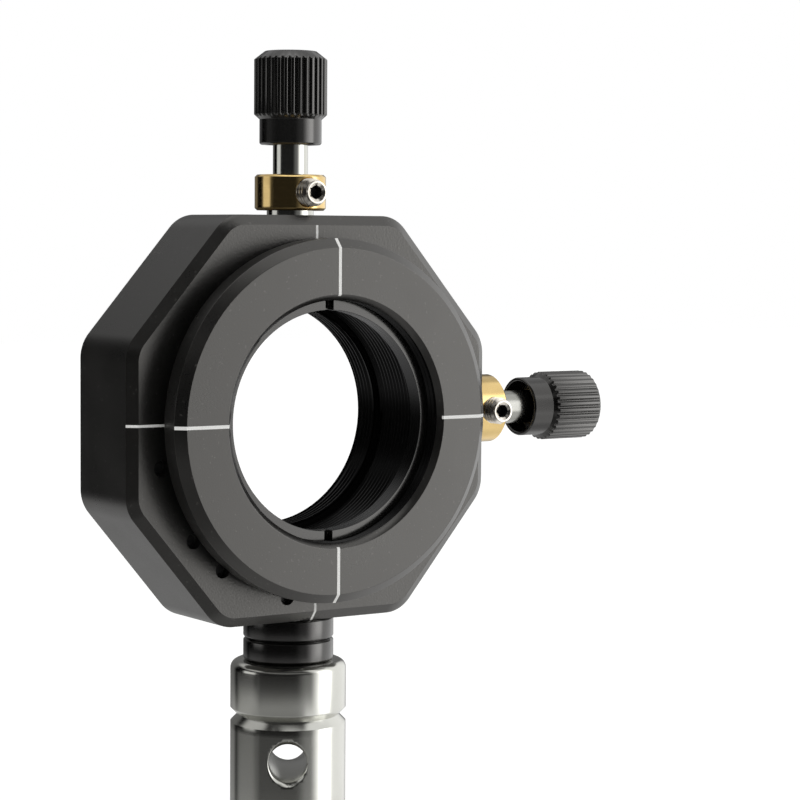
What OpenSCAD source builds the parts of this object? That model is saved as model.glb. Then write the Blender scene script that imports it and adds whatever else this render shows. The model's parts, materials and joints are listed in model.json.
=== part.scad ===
// Two-axis translating lens mount on a half-inch post.
// Origin: the optical axis at the plane of both adjusters. X right, Y along the light, Z up.
// The front of the mount faces -Y.

/* [Housing] */
// Width across the left and right flats
housing_width = 45.1; // [43:0.1:60]
// Height across the top and bottom flats
housing_height = 43.7; // [42:0.1:60]
// Depth from the front face to the back face
housing_depth = 11.1; // [10.5:0.1:16]
// Width of each upper corner cut
top_cut_width = 11.9; // [8:0.1:13]
// Height of each upper corner cut
top_cut_height = 13.8; // [9:0.1:15]
// Width of each lower corner cut
bottom_cut_width = 10.9; // [8:0.1:12]
// Height of each lower corner cut
bottom_cut_height = 13.0; // [9:0.1:14.5]
// Radius of the eight upright corners
corner_round = 4.0; // [2:0.1:6]
// Chamfer of the front edge, measured across the face
edge_chamfer_width = 1.06; // [0.3:0.02:1.8]
// Chamfer of the front edge, measured along the depth
edge_chamfer_depth = 0.84; // [0.3:0.02:1.6]
// Thickness of the wall behind the front face
front_wall = 2.05; // [1.6:0.05:3]
// Thickness of the cover let into the back
cover_thickness = 2.05; // [1.6:0.05:3]
// Rim left round the cover
cover_rim = 1.0; // [0.6:0.05:1.4]
// Diameter of the cover screws' thread
cover_screw_d = 1.6; // [1.2:0.1:2]
// Diameter of the cover screws' countersunk heads
cover_screw_head_d = 3.0; // [2.4:0.1:3.2]
// Length of the cover screws
cover_screw_length = 5.5; // [4:0.5:7]
// Size of the cover screws' hexagon sockets across their flats
cover_screw_hex = 0.95; // [0.7:0.05:1.3]
// Depth of the cover screws' sockets
cover_screw_hex_depth = 0.7; // [0.4:0.05:1]
// Wall between the cavity and each cover screw
cover_screw_wall = 0.4; // [0.3:0.05:0.6]
// Angle of the cover screws above and below the side adjuster's axis
cover_screw_angle = 62.5; // [58:0.5:66]

/* [Lens cell] */
// Diameter of the threaded lens bore
lens_bore_d = 25.8; // [24:0.1:28]
// Clear diameter of the lip that the lens rests on
lip_d = 24.4; // [22:0.1:23.6]
// Length of the lip along the axis
lip_length = 3.5; // [1:0.1:4.5]
// Chamfer at the lip's rear edge
lip_chamfer = 0.25; // [0.1:0.05:0.5]
// Wall of the tube that carries the bore
cell_wall = 1.2; // [1:0.05:1.6]
// Distance of the cell's rear end inside the back face
cell_setback = 0.3; // [0.1:0.05:1]
// Diameter of the front disc
disc_d = 38.84; // [36:0.1:42]
// Thickness of the front disc
disc_thickness = 3.0; // [2:0.1:4]
// Gap between the disc and the housing's face
disc_gap = 1.65; // [0.8:0.05:3]
// Chamfer of the disc, measured across its face
disc_chamfer_width = 0.99; // [0.3:0.01:1.5]
// Chamfer of the disc, measured along the axis
disc_chamfer_depth = 0.87; // [0.3:0.01:1.5]
// Chamfer at the mouth of the lens bore
bore_chamfer = 0.6; // [0.2:0.05:0.8]
// Inner diameter of the retaining ring
retainer_d = 23.6; // [22:0.1:24.4]
// Thickness of the retaining ring
retainer_thickness = 1.9; // [1.2:0.1:3]
// Depth of the retaining ring behind the disc's face
retainer_depth = 2.1; // [1:0.1:3.5]
// Width of the retaining ring's spanner slots
spanner_slot_width = 1.0; // [0.6:0.1:1.6]
// Depth of the retaining ring's spanner slots
spanner_slot_depth = 1.0; // [0.4:0.1:1.1]

/* [Slides] */
// Travel of the lens cell, each way from the middle
travel = 1.0; // [0.5:0.1:1.1]
// Radial width of the slide ring fixed round the cell's tube
slide_ring_width = 2.9; // [2.4:0.05:3.1]
// Thickness of the cross slide
cross_slide_thickness = 1.75; // [1.2:0.05:2.2]
// Radial width of the cross slide
cross_slide_width = 2.2; // [1.8:0.05:2.4]
// Width of the keys that guide the slides
key_width = 2.0; // [1.4:0.1:3]
// Height of the keys
key_height = 0.6; // [0.4:0.05:0.8]
// Distance of the keys outside the cross slide's inner edge
key_margin = 0.33; // [0.2:0.01:0.5]
// Distance kept between the keys and the adjusters' screws at full travel
key_end_gap = 0.3; // [0.1:0.05:0.5]
// Running clearance between sliding faces
slide_clearance = 0.05; // [0.03:0.01:0.08]
// Length of the hardened pads under the adjusters' tips
pad_length = 4.4; // [3.4:0.1:6]
// Width of the pads
pad_width = 1.6; // [1.2:0.1:1.8]
// Thickness of the pads
pad_thickness = 0.8; // [0.5:0.1:1]
// Distance of the pad faces below the slide ring's rim
pad_sink = 0.2; // [0.16:0.02:0.4]

/* [Return springs] */
// Angle between the two spring centre lines
spring_spread_angle = 40.2; // [39:0.2:44]
// Direction midway between the springs, from +X towards +Z
spring_middle_angle = 226.4; // [225:0.2:228]
// Distance between the two pins of one spring
spring_pin_span = 8.7; // [8:0.1:9]
// Diameter of the pins
spring_pin_d = 1.2; // [0.8:0.1:1.4]
// Diameter of the holes' mouths in front of the pins
spring_pin_mouth_d = 1.7; // [1.4:0.1:2]
// Distance of the pins outside the cavity wall
spring_pin_outset = 0.65; // [0.6:0.05:0.9]
// Depth at which the pins stop behind the front face
spring_pin_recess = 1.0; // [0.3:0.1:1.6]
// Thickness of the leaf
leaf_thickness = 0.2; // [0.1:0.05:0.3]
// Width of the leaf along the axis
leaf_width = 3.4; // [2:0.1:4]
// Room for the end of a leaf beside each pin
leaf_room = 0.3; // [0.2:0.05:0.4]

/* [Adjusters] */
// Diameter of the adjuster screws
screw_d = 3.8; // [3:0.1:4.2]
// Diameter of the steel sleeves
sleeve_d = 5.1; // [4.8:0.1:5.8]
// Length of sleeve that shows between the housing and the collar
neck_length = 0.52; // [0.3:0.02:1.2]
// Diameter of the brass collars
collar_d = 7.74; // [7:0.02:9]
// Length of the brass collars
collar_length = 3.86; // [3.6:0.02:5]
// Chamfer of the brass collars
collar_chamfer = 0.25; // [0.1:0.05:0.4]
// Lip that closes the outer end of each collar
collar_lip = 0.5; // [0.3:0.05:0.6]
// Length of screw that shows above the top collar
top_screw_gap = 3.25; // [2:0.05:6]
// Length of screw that shows beside the right collar
side_screw_gap = 4.2; // [2:0.05:6]
// Diameter of the hardened tip balls
tip_ball_d = 2.0; // [1.4:0.1:2.4]
// Height of each ball that shows beyond its screw
tip_ball_show = 0.8; // [0.5:0.05:0.9]
// Diameter of the narrow nose that holds each ball
nose_d = 2.5; // [2.4:0.1:3]
// Chamfer at both ends of the adjuster screws
screw_chamfer = 0.2; // [0.1:0.05:0.3]

/* [Lock screws] */
// Thread diameter of the lock screws
lock_d = 3.0; // [2.5:0.1:3.2]
// Distance from the adjuster's axis to the lock screw's outer face
lock_reach = 5.5; // [4.8:0.1:7]
// Chamfer at the ends of the lock screw's thread
lock_chamfer = 0.25; // [0.1:0.05:0.4]
// Width of the countersink round each lock screw
lock_countersink = 0.2; // [0.1:0.05:0.4]
// Diameter of the lock screw's point
lock_point_d = 1.8; // [1.2:0.1:2]
// Chamfer of the lock screw's point
lock_point_chamfer = 0.1; // [0.05:0.05:0.2]
// Distance of the lock screw's thread outside the sleeve
lock_thread_gap = 0.15; // [0.1:0.05:0.4]
// Size of the lock screw's hexagon socket across its flats
lock_hex = 1.5; // [1.2:0.1:1.6]
// Depth of the lock screw's socket
lock_hex_depth = 1.4; // [0.8:0.1:1.6]

/* [Knobs] */
// Diameter over the flutes
knob_d = 7.94; // [7.6:0.02:12]
// Length of the straight fluted part
grip_length = 5.92; // [4:0.02:10]
// Number of flutes
flute_count = 32; // [20:1:40]
// Depth of the flutes
flute_depth = 0.26; // [0.15:0.01:0.35]
// Width of each flute at the knob's surface
flute_width = 0.46; // [0.3:0.02:0.6]
// Width of each flute at its floor
flute_floor = 0.18; // [0.1:0.02:0.3]
// Length of the cone between the skirt and the flutes
shoulder_length = 0.52; // [0.3:0.02:1]
// Length of the chamfer at the knob's end
crown_length = 0.9; // [0.3:0.05:1.5]
// Diameter of the flat end of the knob
crown_d = 5.4; // [4:0.1:6.5]
// Diameter of the skirt
skirt_d = 6.74; // [6.2:0.02:7.2]
// Length of the skirt
skirt_length = 2.72; // [1.8:0.02:5]
// Wall of the skirt
skirt_wall = 0.42; // [0.3:0.02:0.5]
// Chamfer outside the skirt's rim
skirt_chamfer = 0.16; // [0.08:0.02:0.2]
// Chamfer inside the skirt's rim
skirt_bevel = 0.12; // [0.06:0.02:0.14]
// Depth of the recess inside the skirt
skirt_recess = 2.3; // [1:0.1:4]
// Size of the hexagon socket in the knob's end across its flats
knob_hex = 2.0; // [1.5:0.1:2.5]
// Depth of the hexagon socket in the knob's end
knob_hex_depth = 1.4; // [0.8:0.1:2]
// Depth to which each screw enters the knob beyond its recess
screw_seat = 4.8; // [3:0.1:5.2]

/* [Post] */
// Diameter of the post
post_d = 12.7; // [11:0.1:16]
// Length of the post
post_length = 40; // [30:1:75]
// Radius of the post's upper shoulder
post_shoulder = 0.95; // [0.3:0.05:1.2]
// Chamfer at the post's foot
post_foot_chamfer = 0.6; // [0.2:0.1:1]
// Distance of the groove's middle below the post's top
groove_drop = 6.05; // [4:0.05:7]
// Width of the V groove
groove_width = 1.6; // [0.8:0.1:2.4]
// Depth of the V groove
groove_depth = 0.8; // [0.3:0.05:1.2]
// Distance of the cross hole's axis below the post's top
cross_hole_drop = 10.45; // [10:0.05:14]
// Diameter of the cross hole
cross_hole_d = 4.2; // [3:0.1:5]
// Chamfer at the mouths of the cross hole
cross_hole_chamfer = 0.45; // [0.1:0.05:0.8]
// Turn of the cross hole about the post's axis
cross_hole_turn = 31.5; // [0:0.5:90]
// Diameter of the tapped hole in the post's foot
foot_hole_d = 5.0; // [4:0.1:6]
// Depth of the tapped hole in the post's foot
foot_hole_depth = 12; // [6:1:18]
// Countersink of the tapped hole in the post's foot
foot_countersink = 0.5; // [0.2:0.1:1]
// Diameter of the stud
stud_d = 4.0; // [3:0.1:5]
// Length of the stud inside the post
stud_in_post = 6.5; // [4:0.1:7]
// Wall between the stud's upper end and the cavity
stud_wall = 0.3; // [0.2:0.05:0.8]
// Space left below the stud in its hole
stud_hole_spare = 0.6; // [0.2:0.1:1]
// Chamfer of the stud's ends
stud_chamfer = 0.4; // [0.2:0.1:0.8]
// Diameter of the two spacers
spacer_d = 9.9; // [8:0.1:10.8]
// Height of the upper spacer
upper_spacer_height = 2.45; // [1.5:0.05:5]
// Height of the lower spacer
lower_spacer_height = 2.45; // [1.5:0.05:5]
// Chamfer of the spacers
spacer_chamfer = 0.25; // [0.1:0.05:0.5]

/* [Engraved lines] */
// Width of the lines on the disc
disc_line_width = 0.36; // [0.2:0.02:0.6]
// Width of the lines on the housing
housing_line_width = 0.28; // [0.2:0.02:0.6]
// Depth of the engraving
line_depth = 0.15; // [0.05:0.01:0.2]

/* [Hidden] */

// Number of sides where a circle is drawn as a polygon
$fn = 96;
// Gap at faces that are pressed, screwed or glued together
seat_fit = 0.01;
// Overlap by which rounded corners run into the plates between them
weld = 0.002;
// Distance by which a cutting shape runs past the surface that it opens
over_reach = 0.1;
// Radial room between an adjuster screw and its sleeve
shaft_clearance = 0.04;
// Radial room round a screw or pin in a plain hole
hole_clearance = 0.1;
// Small overlap or gap where two faces would lie on each other
nudge = 0.02;

// Housing
half_width = housing_width / 2;
half_height = housing_height / 2;
front_face = -housing_depth / 2;
back_face = housing_depth / 2;
chamfer_plane = front_face + edge_chamfer_depth;
cavity_front = front_face + front_wall;
cavity_back = back_face - cover_thickness;
top_corner_x = half_width - top_cut_width;
bottom_corner_x = half_width - bottom_cut_width;

// Outward normal and distance from the axis of each flat, clockwise from the top
function unit(v) = v / norm(v);
upper_normal = unit([top_cut_height, top_cut_width]);
lower_normal = unit([bottom_cut_height, -bottom_cut_width]);
upper_reach = upper_normal * [top_corner_x, half_height];
lower_reach = lower_normal * [bottom_corner_x, -half_height];
flats = [
    [[0, 1], half_height],
    [upper_normal, upper_reach],
    [[1, 0], half_width],
    [lower_normal, lower_reach],
    [[0, -1], half_height],
    [[-lower_normal[0], lower_normal[1]], lower_reach],
    [[-1, 0], half_width],
    [[-upper_normal[0], upper_normal[1]], upper_reach]
];
function next(i) = (i + 1) % len(flats);
function crossing(a, b, inset) =
    let (turn = a[0][0] * b[0][1] - a[0][1] * b[0][0], ra = a[1] - inset, rb = b[1] - inset)
    [(ra * b[0][1] - rb * a[0][1]) / turn, (a[0][0] * rb - b[0][0] * ra) / turn];
function corner_centre(i) = crossing(flats[i], flats[next(i)], corner_round);
function tangent_points(radius) = [
    for (i = [0 : len(flats) - 1])
        each [corner_centre(i) + radius * flats[i][0], corner_centre(i) + radius * flats[next(i)][0]]
];

// Lens cell
bore_r = lens_bore_d / 2;
tube_r = bore_r + cell_wall;
cell_rear = back_face - cell_setback;
lip_front = cell_rear - lip_length;
disc_back = front_face - disc_gap;
disc_front = disc_back - disc_thickness;
retainer_front = disc_front + retainer_depth;

// Slides
diagonal_travel = travel * sqrt(2);
opening_r = tube_r + diagonal_travel + 3 * slide_clearance;
slide_ring_r = tube_r + slide_ring_width;
cross_slide_inner_r = tube_r + travel + 2 * slide_clearance;
cross_slide_r = cross_slide_inner_r + cross_slide_width;
ring_sweep_r = slide_ring_r + diagonal_travel + leaf_thickness;
cavity_r = max(ring_sweep_r, cross_slide_r + travel) + 2 * slide_clearance;
cover_screw_ring_r = cavity_r + cover_screw_d / 2 + cover_screw_wall;
slide_ring_front = cavity_front + slide_clearance;
cross_slide_back = cavity_back - slide_clearance;
cross_slide_front = cross_slide_back - cross_slide_thickness;
slide_ring_back = cross_slide_front - slide_clearance;
pad_face = slide_ring_r - pad_sink;

// Return springs
spring_pin_r = spring_pin_d / 2;
spring_pin_ring_r = cavity_r + spring_pin_outset;
pin_half_span = spring_pin_span / 2;
pin_start = front_face + spring_pin_recess;
pin_drop = sqrt(pow(spring_pin_ring_r, 2) - pow(pin_half_span, 2));
spring_half_angle = spring_spread_angle / 2;
spring_turns = [spring_middle_angle - spring_half_angle, spring_middle_angle + spring_half_angle];
leaf_apex = slide_ring_r + nudge;
leaf_rise = pin_drop - leaf_apex;
leaf_stack = leaf_thickness + spring_pin_r + seat_fit;
leaf_chord = pow(pin_half_span, 2) + pow(leaf_rise, 2) - pow(leaf_stack, 2);
leaf_bend_r = leaf_chord / (2 * (leaf_rise - leaf_stack));
leaf_front = (slide_ring_front + slide_ring_back - leaf_width) / 2;
pin_pocket_r = spring_pin_r + leaf_thickness + leaf_room;

// Adjusters: distances along each adjuster's axis
screw_r = screw_d / 2;
sleeve_r = sleeve_d / 2;
sleeve_start = cavity_r + slide_clearance;
ball_r = tip_ball_d / 2;
ball_centre = pad_face + ball_r + nudge;
screw_start = ball_centre - ball_r + tip_ball_show;
nose_r = nose_d / 2;
nose_end = cross_slide_r + travel + 2 * slide_clearance;
lock_r = lock_d / 2;

// Keys: they end short of the screws' reach
key_inner = cross_slide_inner_r + key_margin;
key_outer = screw_start - travel - key_end_gap;

// Knob: distances from the skirt's rim
shoulder_start = skirt_length;
grip_start = shoulder_start + shoulder_length;
grip_end = grip_start + grip_length;
knob_length = grip_end + crown_length;
screw_top = skirt_recess + screw_seat;

// Post
spacer_top = -half_height;
spacer_joint = spacer_top - upper_spacer_height;
post_top = spacer_joint - lower_spacer_height;
post_r = post_d / 2;
post_foot = post_top - post_length;
stud_top = -cavity_r - stud_wall;
stud_bottom = post_top - stud_in_post;

black_anodised = "#3b3a39";
dark_anodised = "#2a2a2a";
brass_colour = "#c9a24c";
bronze_colour = "#8f8a80";
steel_colour = "#b9b9b6";
spring_colour = "#9fa3a8";
paint_white = "#f4f4f2";

// --- Shared shapes ---

// A disc or rod along the optical axis, from y = a to y = b
module rod_y(a, b, r) {
    translate([0, a, 0]) rotate([-90, 0, 0]) cylinder(h = b - a, r = r);
}

// A flat shape drawn in X and Z, given depth from y = a to y = b
module plate_y(a, b) {
    translate([0, b, 0]) rotate([90, 0, 0]) linear_extrude(height = b - a) children();
}

// A shape drawn as radius and y, turned about the optical axis
module turned_y() {
    rotate([-90, 0, 0]) rotate_extrude() children();
}

// A hexagon socket cut upwards from its floor, sized across its flats
module hex_socket(flats_width, depth) {
    cylinder(h = depth + over_reach, r = flats_width / sqrt(3), $fn = 6);
}

module tube_y(a, b, outer, inner) {
    difference() {
        rod_y(a, b, outer);
        rod_y(a - over_reach, b + over_reach, inner);
    }
}

// A plate from y = a to y = b with the housing's rounded outline, drawn in by a distance
module outline_plate(a, b, inset) {
    radius = corner_round - inset;
    plate_y(a, b) polygon(tangent_points(radius));
    at_corners() rod_y(a, b, radius + weld);
}

module at_corners() {
    for (i = [0 : len(flats) - 1])
        translate([corner_centre(i)[0], 0, corner_centre(i)[1]]) children();
}

// Moves what is drawn for the top adjuster round to the right side
module to_side() {
    rotate([0, 90, 0]) children();
}

module to_spring(turn) {
    rotate([0, 90 - turn, 0]) children();
}

// --- Housing ---

// The slanting front rim: flat facets between cones at the corners
module front_rim() {
    low = tangent_points(corner_round);
    high = tangent_points(corner_round - edge_chamfer_width);
    count = len(low);
    polyhedron(
        points = concat(
            [for (p = low) [p[0], chamfer_plane, p[1]]],
            [for (p = high) [p[0], front_face, p[1]]]
        ),
        faces = concat(
            [[for (i = [count - 1 : -1 : 0]) i]],
            [[for (i = [0 : count - 1]) count + i]],
            [for (i = [0 : count - 1]) [i, (i + 1) % count, count + (i + 1) % count, count + i]]
        )
    );
    at_corners()
        translate([0, chamfer_plane, 0])
            rotate([90, 0, 0])
                cylinder(
                    h = edge_chamfer_depth,
                    r1 = corner_round + weld,
                    r2 = corner_round - edge_chamfer_width + weld
                );
}

module at_spring_pins() {
    for (turn = spring_turns)
        for (side = [-1, 1])
            to_spring(turn) translate([side * pin_half_span, 0, pin_drop]) children();
}

// Places of the four cover screws, clear of the cavity and of the spring pins
module at_cover_screws() {
    for (mirror_z = [0, 1])
        for (side = [-1, 1])
            mirror([0, 0, mirror_z])
                rotate([0, side * (90 - cover_screw_angle), 0])
                    translate([0, 0, cover_screw_ring_r]) children();
}

// One engraved line for the top, along a face and, over the rim, down its chamfer.
// lead widens the groove's floor into the bore's chamfer. past is nothing for the
// paint, and the reach beyond the surface for the groove that the paint fills
module engraved_line(width, face, inner, lead, reach, rim, over_rim, past) {
    face_end = reach - rim[0];
    rim_end = face + rim[1];
    opened = past > 0 ? lead + past : 0;
    rotate([90, 0, 90])
        translate([0, 0, -width / 2])
            linear_extrude(height = width)
                polygon(concat(
                    [[face + line_depth, inner - lead - past], [face - past, inner - opened]],
                    over_rim
                        ? [
                            [face - past, face_end],
                            [rim_end - past, reach + past],
                            [rim_end + line_depth, reach - line_depth],
                            [face + line_depth, face_end - line_depth / 2]
                        ]
                        : [[face - past, face_end + past], [face + line_depth, face_end - line_depth]]
                ));
}

// The four lines of the housing: the top one stops at the chamfer
module housing_line_set(past) {
    rim = [edge_chamfer_width, edge_chamfer_depth];
    for (turn = [0 : 90 : 270])
        let (reach = turn % 180 == 0 ? half_height : half_width)
            rotate([0, turn, 0])
                engraved_line(housing_line_width, front_face, opening_r, 0, reach, rim, turn > 0, past);
}

module housing() {
    color(black_anodised)
    difference() {
        union() {
            outline_plate(chamfer_plane, back_face, 0);
            front_rim();
        }
        rod_y(front_face - over_reach, back_face, opening_r);
        rod_y(cavity_front, back_face, cavity_r);
        outline_plate(cavity_back, back_face + over_reach, cover_rim);
        at_spring_pins() rod_y(cavity_front, cavity_back + nudge, pin_pocket_r);
        at_spring_pins() rod_y(front_face + over_reach, cavity_back, spring_pin_r + seat_fit);
        at_spring_pins() rod_y(front_face - over_reach, pin_start, spring_pin_mouth_d / 2);
        at_cover_screws() rod_y(cavity_back - cover_screw_length, back_face, cover_screw_d / 2 + seat_fit);
        cylinder(h = half_height + over_reach, r = sleeve_r + seat_fit);
        to_side() cylinder(h = half_width + over_reach, r = sleeve_r + seat_fit);
        translate([0, 0, spacer_top - over_reach]) cylinder(h = half_height, r = stud_d / 2 + seat_fit);
        housing_line_set(over_reach);
    }
}

module housing_lines() {
    color(paint_white) housing_line_set(0);
}

module rear_cover() {
    color(black_anodised)
    difference() {
        outline_plate(cavity_back, back_face, cover_rim + seat_fit);
        rod_y(cavity_back - over_reach, back_face + over_reach, opening_r);
        for (side = [-1, 1])
            translate([side * (key_outer + key_inner) / 2, cavity_back, 0])
                cube([
                    key_outer - key_inner + 2 * travel + 4 * slide_clearance,
                    2 * key_height + 2 * slide_clearance,
                    key_width + 2 * slide_clearance
                ], center = true);
        at_cover_screws() {
            rod_y(cavity_back - over_reach, back_face + over_reach, cover_screw_d / 2 + hole_clearance);
            cover_screw_head(hole_clearance / 2);
        }
    }
}

module cover_screw_head(growth) {
    head_r = cover_screw_head_d / 2 + growth;
    translate([0, back_face - head_r, 0]) rotate([-90, 0, 0]) cylinder(h = head_r, r1 = 0, r2 = head_r);
    rod_y(back_face - nudge, back_face + growth, head_r);
}

module cover_screws() {
    color(steel_colour)
    at_cover_screws()
        difference() {
            union() {
                rod_y(back_face - cover_screw_length, back_face - nudge, cover_screw_d / 2);
                cover_screw_head(0);
            }
            translate([0, back_face - cover_screw_hex_depth, 0])
                rotate([-90, 0, 0]) hex_socket(cover_screw_hex, cover_screw_hex_depth);
        }
}

// --- Lens cell ---

module disc_line_set(past) {
    rim = [disc_chamfer_width, disc_chamfer_depth];
    start = bore_r + bore_chamfer;
    for (turn = [0 : 90 : 270])
        rotate([0, turn, 0])
            engraved_line(disc_line_width, disc_front, start, line_depth, disc_d / 2, rim, true, past);
}

module lens_cell() {
    color(black_anodised)
    difference() {
        turned_y() polygon([
            [bore_r + bore_chamfer, disc_front],
            [disc_d / 2 - disc_chamfer_width, disc_front],
            [disc_d / 2, disc_front + disc_chamfer_depth],
            [disc_d / 2, disc_back],
            [tube_r, disc_back],
            [tube_r, cell_rear],
            [lip_d / 2 + lip_chamfer, cell_rear],
            [lip_d / 2, cell_rear - lip_chamfer],
            [lip_d / 2, lip_front],
            [bore_r, lip_front],
            [bore_r, disc_front + bore_chamfer]
        ]);
        disc_line_set(over_reach);
    }
}

module cell_lines() {
    color(paint_white) disc_line_set(0);
}

module retaining_ring() {
    color(black_anodised)
    difference() {
        tube_y(retainer_front, retainer_front + retainer_thickness, bore_r - 2 * seat_fit, retainer_d / 2);
        translate([0, retainer_front, 0])
            cube([spanner_slot_width, 2 * spanner_slot_depth, lens_bore_d], center = true);
    }
}

// --- Slides inside the housing ---

// Guide key drawn for the top, a block between the two key radii
module key_block(a, b) {
    translate([-key_width / 2, a, key_inner]) cube([key_width, b - a, key_outer - key_inner]);
}

module pad_block(growth) {
    translate([-pad_length / 2 - growth, -pad_width / 2 - growth, pad_face - pad_thickness])
        cube([pad_length + 2 * growth, pad_width + 2 * growth, pad_thickness]);
}

module slide_ring() {
    slot_width = key_width + 2 * slide_clearance;
    slot_floor = slide_ring_back - key_height;
    color(dark_anodised)
    difference() {
        tube_y(slide_ring_front, slide_ring_back, slide_ring_r, tube_r + seat_fit);
        translate([-slot_width / 2, slot_floor, -cavity_r])
            cube([slot_width, key_height + over_reach, 2 * cavity_r]);
        pad_block(seat_fit);
        translate([0, 0, pad_sink]) pad_block(seat_fit);
        to_side() pad_block(seat_fit);
        to_side() translate([0, 0, pad_sink]) pad_block(seat_fit);
    }
}

module cross_slide() {
    color(bronze_colour) {
        tube_y(cross_slide_front, cross_slide_back, cross_slide_r, cross_slide_inner_r);
        for (turn = [0, 180])
            rotate([0, turn, 0]) key_block(cross_slide_front - key_height, cross_slide_front + nudge);
        for (turn = [90, -90])
            rotate([0, turn, 0]) key_block(cross_slide_back - nudge, cross_slide_back + key_height);
    }
}

module top_pad() {
    color(steel_colour) pad_block(0);
}

module side_pad() {
    color(steel_colour) to_side() pad_block(0);
}

module spring_pins() {
    color(steel_colour)
    at_spring_pins() rod_y(pin_start, slide_ring_back, spring_pin_r);
}

// A bowed leaf whose crown bears on the slide ring and whose ends bear on two pins
module leaf_spring(turn) {
    end = pin_half_span + spring_pin_r;
    color(spring_colour)
    to_spring(turn)
        intersection() {
            translate([0, 0, leaf_apex + leaf_bend_r])
                tube_y(leaf_front, leaf_front + leaf_width, leaf_bend_r, leaf_bend_r - leaf_thickness);
            translate([-end, leaf_front, leaf_apex - over_reach]) cube([2 * end, leaf_width, leaf_bend_r]);
        }
}

module side_leaf_spring() {
    leaf_spring(spring_turns[0]);
}

module lower_leaf_spring() {
    leaf_spring(spring_turns[1]);
}

// --- Adjusters, drawn upwards for the top and turned round for the side ---

module sleeve(face) {
    collar_start = face + neck_length;
    seat_end = collar_start + collar_length - collar_lip;
    difference() {
        translate([0, 0, sleeve_start]) cylinder(h = seat_end - sleeve_start, r = sleeve_r);
        cylinder(h = seat_end + over_reach, r = screw_r + shaft_clearance);
        translate([0, 0, collar_start + collar_length / 2])
            rotate([90, 0, 0]) cylinder(h = sleeve_r + over_reach, r = lock_point_d / 2 + hole_clearance);
    }
}

module collar(face) {
    start = face + neck_length;
    end = start + collar_length;
    middle = start + collar_length / 2;
    outer = collar_d / 2;
    difference() {
        rotate_extrude() polygon([
            [sleeve_r + seat_fit, start],
            [outer - collar_chamfer, start],
            [outer, start + collar_chamfer],
            [outer, end - collar_chamfer],
            [outer - collar_chamfer, end],
            [screw_r + 2 * shaft_clearance, end],
            [screw_r + 2 * shaft_clearance, end - collar_lip + seat_fit],
            [sleeve_r + seat_fit, end - collar_lip + seat_fit]
        ]);
        translate([0, 0, middle]) rotate([90, 0, 0]) {
            cylinder(h = outer + over_reach, r = lock_r + seat_fit);
            translate([0, 0, outer - 2 * lock_countersink])
                cylinder(
                    h = 4 * lock_countersink,
                    r1 = lock_r - lock_countersink,
                    r2 = lock_r + 3 * lock_countersink
                );
        }
    }
}

// A socket set screw that points at the adjuster's axis from -Y
module lock_screw(face) {
    point_end = screw_r + 2 * shaft_clearance;
    thread_start = sleeve_r + lock_thread_gap;
    middle = face + neck_length + collar_length / 2;
    translate([0, 0, middle]) rotate([90, 0, 0])
        difference() {
            rotate_extrude() polygon([
                [0, point_end],
                [lock_point_d / 2 - lock_point_chamfer, point_end],
                [lock_point_d / 2, point_end + lock_point_chamfer],
                [lock_point_d / 2, thread_start],
                [lock_r - lock_chamfer, thread_start],
                [lock_r, thread_start + lock_chamfer],
                [lock_r, lock_reach - lock_chamfer],
                [lock_r - lock_chamfer, lock_reach],
                [0, lock_reach]
            ]);
            translate([0, 0, lock_reach - lock_hex_depth]) hex_socket(lock_hex, lock_hex_depth);
        }
}

function knob_base(face, gap) = face + neck_length + collar_length + gap;

module adjuster_screw(face, gap) {
    end = knob_base(face, gap) + screw_top;
    difference() {
        rotate_extrude() polygon([
            [0, screw_start],
            [nose_r - screw_chamfer, screw_start],
            [nose_r, screw_start + screw_chamfer],
            [nose_r, nose_end],
            [screw_r, nose_end + screw_r - nose_r],
            [screw_r, end - screw_chamfer],
            [screw_r - screw_chamfer, end],
            [0, end]
        ]);
        translate([0, 0, ball_centre]) sphere(r = ball_r + seat_fit);
    }
}

module tip_ball() {
    translate([0, 0, ball_centre]) sphere(r = ball_r);
}

module fluted_outline() {
    outer = knob_d / 2;
    slope = (flute_width - flute_floor) / 2 / flute_depth;
    mouth = flute_width / 2 + slope * over_reach;
    difference() {
        circle(r = outer);
        for (i = [0 : flute_count - 1])
            rotate(i * 360 / flute_count)
                polygon([
                    [outer - flute_depth, -flute_floor / 2],
                    [outer + over_reach, -mouth],
                    [outer + over_reach, mouth],
                    [outer - flute_depth, flute_floor / 2]
                ]);
    }
}

module knob(face, gap) {
    skirt_r = skirt_d / 2;
    translate([0, 0, knob_base(face, gap)])
        difference() {
            union() {
                rotate_extrude() polygon([
                    [0, skirt_recess],
                    [skirt_r - skirt_wall, skirt_recess],
                    [skirt_r - skirt_wall, skirt_bevel],
                    [skirt_r - skirt_wall + skirt_bevel, 0],
                    [skirt_r - skirt_chamfer, 0],
                    [skirt_r, skirt_chamfer],
                    [skirt_r, shoulder_start + over_reach],
                    [0, shoulder_start + over_reach]
                ]);
                intersection() {
                    rotate_extrude() polygon([
                        [0, shoulder_start],
                        [skirt_r, shoulder_start],
                        [knob_d / 2, grip_start],
                        [knob_d / 2, grip_end],
                        [crown_d / 2, knob_length],
                        [0, knob_length]
                    ]);
                    translate([0, 0, shoulder_start]) linear_extrude(height = knob_length) fluted_outline();
                }
            }
            cylinder(h = screw_top + hole_clearance, r = screw_r + seat_fit);
            translate([0, 0, knob_length - knob_hex_depth]) hex_socket(knob_hex, knob_hex_depth);
        }
}

module top_sleeve() {
    color(steel_colour) sleeve(half_height);
}

module side_sleeve() {
    color(steel_colour) to_side() sleeve(half_width);
}

module top_collar() {
    color(brass_colour) collar(half_height);
}

module side_collar() {
    color(brass_colour) to_side() collar(half_width);
}

module top_lock_screw() {
    color(steel_colour) lock_screw(half_height);
}

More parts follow.
